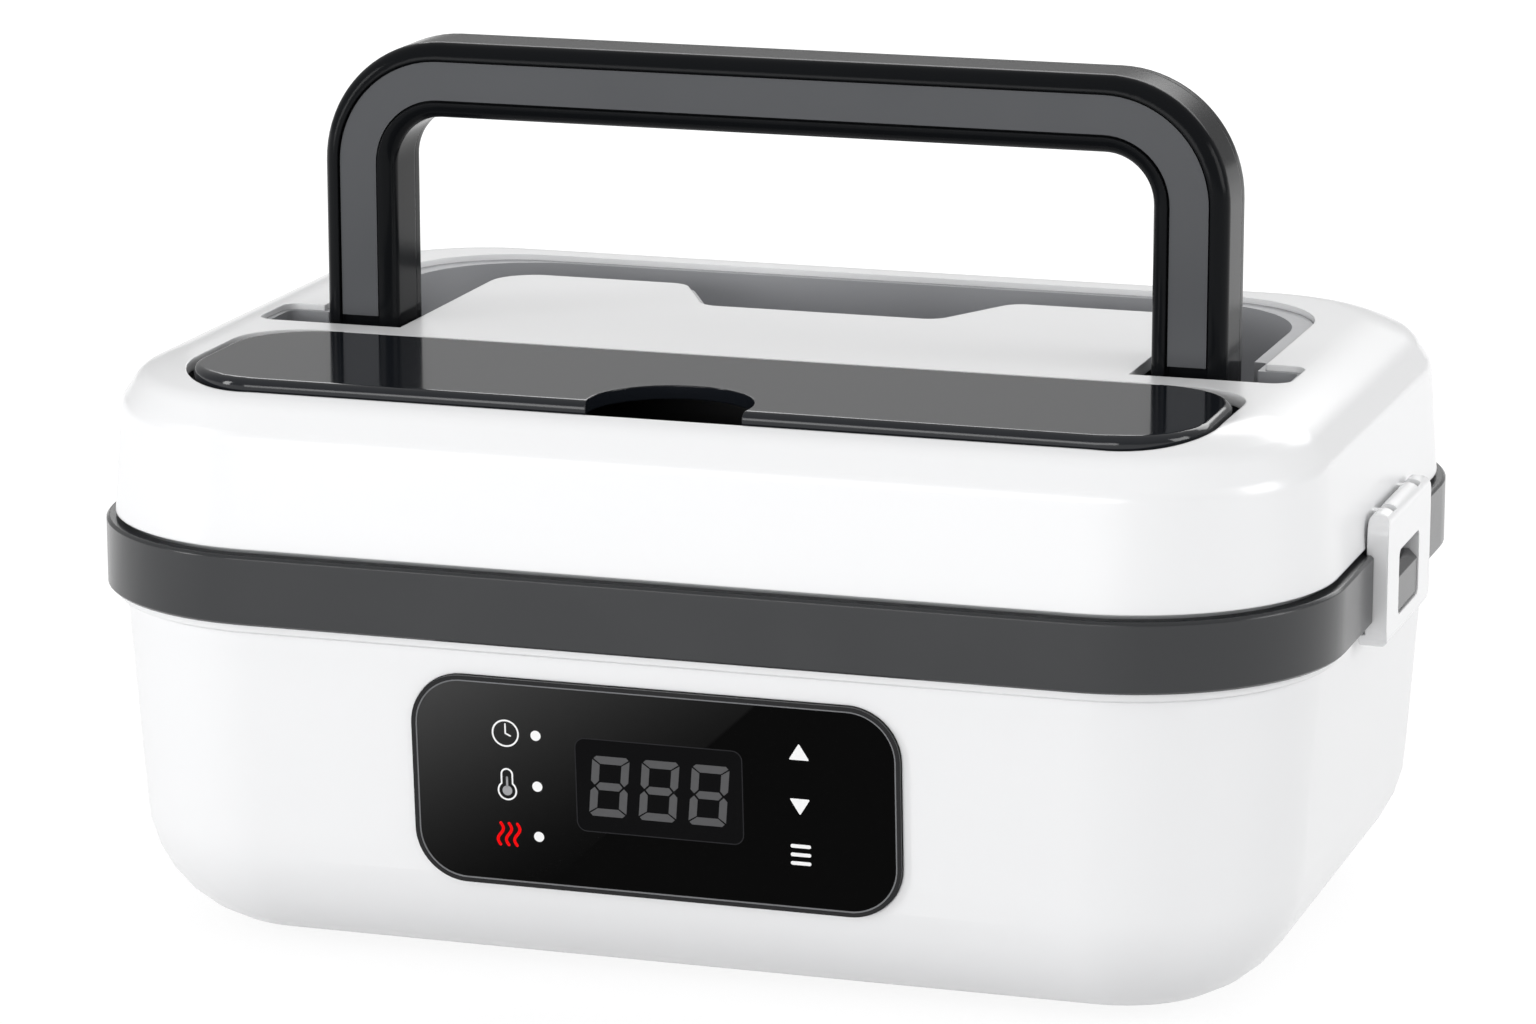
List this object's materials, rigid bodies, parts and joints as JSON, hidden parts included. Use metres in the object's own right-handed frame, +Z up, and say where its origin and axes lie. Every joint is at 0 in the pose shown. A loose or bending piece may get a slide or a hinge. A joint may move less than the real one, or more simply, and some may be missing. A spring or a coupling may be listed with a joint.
{
  "type": "electric lunch box",
  "caption": "Electric lunch box: heated tub with a steel food pot, lift-off lid with fold-down handle and hinged cutlery cover, side latches and a front touch panel",
  "frame": {"origin": "centre of the underside, on the surface the feet stand on", "axes": "+X to the side with the visible latch, -Y to the front with the control panel, +Z up"},
  "size_m": [0.2452, 0.168, 0.1663],
  "materials": {
    "white_shell": "glossy",
    "dark_plastic": "satin",
    "grey_plastic": "matte",
    "stainless_steel": "brushed",
    "aluminium": "satin",
    "heater": "matte",
    "brass": "satin",
    "circuit_board": "matte",
    "black_plastic": "matte",
    "panel_trim": "glossy",
    "panel_glass": "glossy",
    "rubber": "matte",
    "silicone": "matte",
    "recess_plastic": "matte",
    "dark_inlay": "matte",
    "glossy_cover": "glossy",
    "latch_plastic": "glossy"
  },
  "bodies": {
    "base": {"base_shell": "white_shell", "base_collar": "dark_plastic", "inner_housing": "grey_plastic", "food_pot": "stainless_steel", "pot_divider": "stainless_steel", "heating_plate": "aluminium", "heater_pad": "heater", "thermostat": "aluminium", "thermal_fuse": "brass", "power_board": "circuit_board", "control_board": "circuit_board", "display_module": "black_plastic", "panel_bezel": "panel_trim", "control_glass": "panel_glass", "power_inlet": "black_plastic", "inlet_pins": "brass", "rubber_feet": "rubber", "base_screws": "stainless_steel"},
    "lid": {"lid_shell": "white_shell", "lid_inner": "grey_plastic", "lid_seal": "silicone", "steam_plug": "silicone", "lid_screws": "stainless_steel", "handle_recess": "recess_plastic", "cutlery_tray": "black_plastic", "handle_pins": "stainless_steel", "cover_pins": "stainless_steel", "latch_pins": "stainless_steel"},
    "handle": {"handle_frame": "dark_plastic", "handle_back": "dark_plastic", "handle_inlay": "dark_inlay"},
    "cutlery_cover": {"cutlery_cover": "glossy_cover"},
    "latch_right": {"latch_right": "latch_plastic"},
    "latch_left": {"latch_left": "latch_plastic"}
  },
  "joints": [
    {"name": "lid_lift", "type": "slide", "parent": "base", "child": "lid", "axis": [0, 0, 1], "range_m": [0, 0.15]},
    {"name": "handle_fold", "type": "hinge", "parent": "lid", "child": "handle", "pos_m": [0, -0.0055, 0.1025], "axis": [-1, 0, 0], "range_deg": [0, 90]},
    {"name": "cover_open", "type": "hinge", "parent": "lid", "child": "cutlery_cover", "pos_m": [0, -0.0275, 0.1099], "axis": [-1, 0, 0], "range_deg": [0, 90]},
    {"name": "latch_right_open", "type": "hinge", "parent": "lid", "child": "latch_right", "pos_m": [0.1203, 0, 0.086], "axis": [0, -1, 0], "range_deg": [0, 90]},
    {"name": "latch_left_open", "type": "hinge", "parent": "lid", "child": "latch_left", "pos_m": [-0.1203, 0, 0.086], "axis": [0, 1, 0], "range_deg": [0, 90]}
  ]
}
